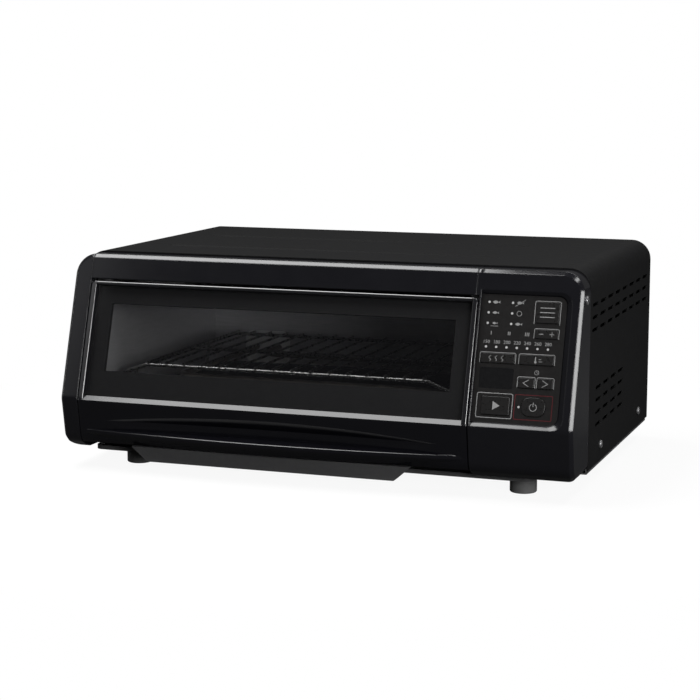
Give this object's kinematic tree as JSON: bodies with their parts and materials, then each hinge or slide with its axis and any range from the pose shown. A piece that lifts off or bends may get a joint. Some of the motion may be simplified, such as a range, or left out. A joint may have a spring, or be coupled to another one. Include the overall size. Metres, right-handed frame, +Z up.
{
  "type": "electric fish roaster",
  "caption": "Low wide countertop fish roaster with a leaning glass door on a pull-out tray, a wire net, heaters above and below, and a recessed key panel at the right.",
  "frame": {"origin": "on the worktop, under the middle of the case", "axes": "+X to the right seen by the user, +Y to the rear panel, +Z up; the door pulls out along -Y"},
  "size_m": [0.4906, 0.345, 0.1995],
  "materials": {
    "case_gloss": "gloss black",
    "door_plastic": "gloss black",
    "skirt_plastic": "matt black",
    "cover_paint": "satin black paint",
    "base_paint": "dark grey paint",
    "zinc_sheet": "zinc-plated sheet",
    "cavity_steel": "stainless sheet, satin",
    "frame_paint": "matt black enamel",
    "door_glass": "smoked glass",
    "display_window": "dark clear window",
    "panel_plastic": "printed black plastic",
    "key_plastic": "black plastic",
    "power_plastic": "black plastic with a red mark",
    "led_lens": "clear lens",
    "circuit_board": "green laminate",
    "heater_sheath": "dull sheath",
    "quartz_tube": "clear quartz",
    "heating_wire": "oxidised wire",
    "ceramic_block": "white ceramic",
    "fine_steel": "stainless steel",
    "tray_enamel": "black enamel",
    "net_wire": "bright plated wire",
    "filter_ceramic": "porous ceramic",
    "motor_steel": "plated steel",
    "fan_steel": "stainless steel",
    "foot_rubber": "black rubber",
    "screw_steel": "blackened steel"
  },
  "bodies": {
    "housing": {"left_pillar": "case_gloss", "top_strip": "case_gloss", "control_housing": "case_gloss", "cover": "cover_paint", "back_panel": "cover_paint", "base_pan": "base_paint", "front_plate": "zinc_sheet", "heat_shield": "zinc_sheet", "cavity_support_front": "zinc_sheet", "cavity_support_rear": "zinc_sheet", "exhaust_duct": "zinc_sheet", "cavity": "cavity_steel", "reflector": "cavity_steel", "heater_plate": "cavity_steel", "display_window": "display_window", "control_panel": "panel_plastic", "led_lights": "led_lens", "control_board": "circuit_board", "power_board": "circuit_board", "lower_heater": "heater_sheath", "upper_heater_front": "quartz_tube", "upper_heater_rear": "quartz_tube", "heating_rods": "heating_wire", "heater_holders": "ceramic_block", "temperature_sensor": "fine_steel", "guide_rail_left": "fine_steel", "guide_rail_right": "fine_steel", "catalyst_filter": "filter_ceramic", "fan_motor": "motor_steel", "foot_front_left": "foot_rubber", "foot_front_right": "foot_rubber", "foot_rear_left": "foot_rubber", "foot_rear_right": "foot_rubber", "cord_bush": "foot_rubber", "cover_screws": "screw_steel", "frame_screws": "screw_steel", "back_screws": "screw_steel", "base_screws": "screw_steel"},
    "drawer": {"door_body": "door_plastic", "door_skirt": "skirt_plastic", "door_glass": "door_glass", "door_inner_frame": "frame_paint", "door_trim_left": "case_gloss", "door_trim_right": "case_gloss", "door_top_bar": "case_gloss", "door_screws": "screw_steel", "tray_carrier": "fine_steel", "drip_tray": "tray_enamel"},
    "net": {"wire_net": "net_wire"},
    "fan": {"fan_impeller": "fan_steel"},
    "menu_button": {"menu_key": "key_plastic"},
    "level_button": {"level_key": "key_plastic"},
    "smoke_button": {"smoke_key": "key_plastic"},
    "temperature_button": {"temperature_key": "key_plastic"},
    "minus_button": {"minus_key": "key_plastic"},
    "plus_button": {"plus_key": "key_plastic"},
    "start_button": {"start_key": "key_plastic"},
    "power_button": {"power_key": "power_plastic"}
  },
  "joints": [
    {"name": "drawer_slide", "type": "slide", "parent": "housing", "child": "drawer", "axis": [0, -1, 0], "range_m": [0, 0.21]},
    {"name": "net_lift", "type": "slide", "parent": "drawer", "child": "net", "axis": [0, 0, 1], "range_m": [0, 0.03]},
    {"name": "fan_spin", "type": "hinge", "parent": "housing", "child": "fan", "pos_m": [0.075, 0.146, 0.141], "axis": [0, 1, 0], "continuous": true},
    {"name": "menu_press", "type": "slide", "parent": "housing", "child": "menu_button", "axis": [0, 0.9537, -0.3007], "range_m": [0, 0.0006], "stiffness_N_per_m": 600},
    {"name": "level_press", "type": "slide", "parent": "housing", "child": "level_button", "axis": [0, 0.9537, -0.3007], "range_m": [0, 0.0006], "stiffness_N_per_m": 600},
    {"name": "smoke_press", "type": "slide", "parent": "housing", "child": "smoke_button", "axis": [0, 0.9537, -0.3007], "range_m": [0, 0.0006], "stiffness_N_per_m": 600},
    {"name": "temperature_press", "type": "slide", "parent": "housing", "child": "temperature_button", "axis": [0, 0.9537, -0.3007], "range_m": [0, 0.0006], "stiffness_N_per_m": 600},
    {"name": "minus_press", "type": "slide", "parent": "housing", "child": "minus_button", "axis": [0, 0.9537, -0.3007], "range_m": [0, 0.0006], "stiffness_N_per_m": 600},
    {"name": "plus_press", "type": "slide", "parent": "housing", "child": "plus_button", "axis": [0, 0.9537, -0.3007], "range_m": [0, 0.0006], "stiffness_N_per_m": 600},
    {"name": "start_press", "type": "slide", "parent": "housing", "child": "start_button", "axis": [0, 0.9537, -0.3007], "range_m": [0, 0.0006], "stiffness_N_per_m": 600},
    {"name": "power_press", "type": "slide", "parent": "housing", "child": "power_button", "axis": [0, 0.9537, -0.3007], "range_m": [0, 0.0006], "stiffness_N_per_m": 600}
  ]
}
